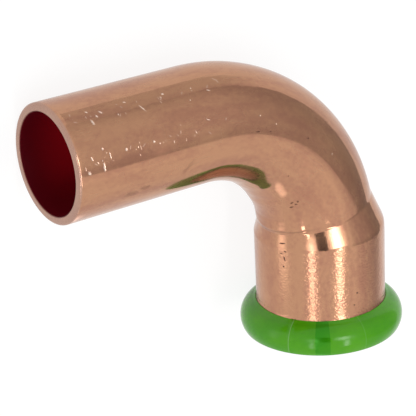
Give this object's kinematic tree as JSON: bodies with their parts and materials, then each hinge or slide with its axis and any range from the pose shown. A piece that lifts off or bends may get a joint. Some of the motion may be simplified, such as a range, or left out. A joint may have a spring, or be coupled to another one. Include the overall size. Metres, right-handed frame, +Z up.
{
  "type": "press fit elbow",
  "caption": "Ninety degree copper elbow with a plain tube spigot on one end and a press socket with a rubber seal and a green indicator ring on the other.",
  "frame": {"origin": "Middle of the bounding box, on the surface that the elbow lies on", "axes": "+Z up. -X runs along the spigot and out of its end. -Y runs out of the socket's mouth, which is tilted 6.3 degrees up from it because the elbow lies on its bead and the side of its bend."},
  "size_m": [0.0756, 0.062, 0.0322],
  "materials": {
    "copper": "drawn copper, bright and slightly brushed, with handling marks",
    "black_rubber": "smooth moulded rubber",
    "green_plastic": "thin glossy plastic, slightly see-through"
  },
  "bodies": {
    "root": {"elbow_body": "copper", "sealing_ring": "black_rubber", "press_indicator": "green_plastic"}
  },
  "joints": []
}
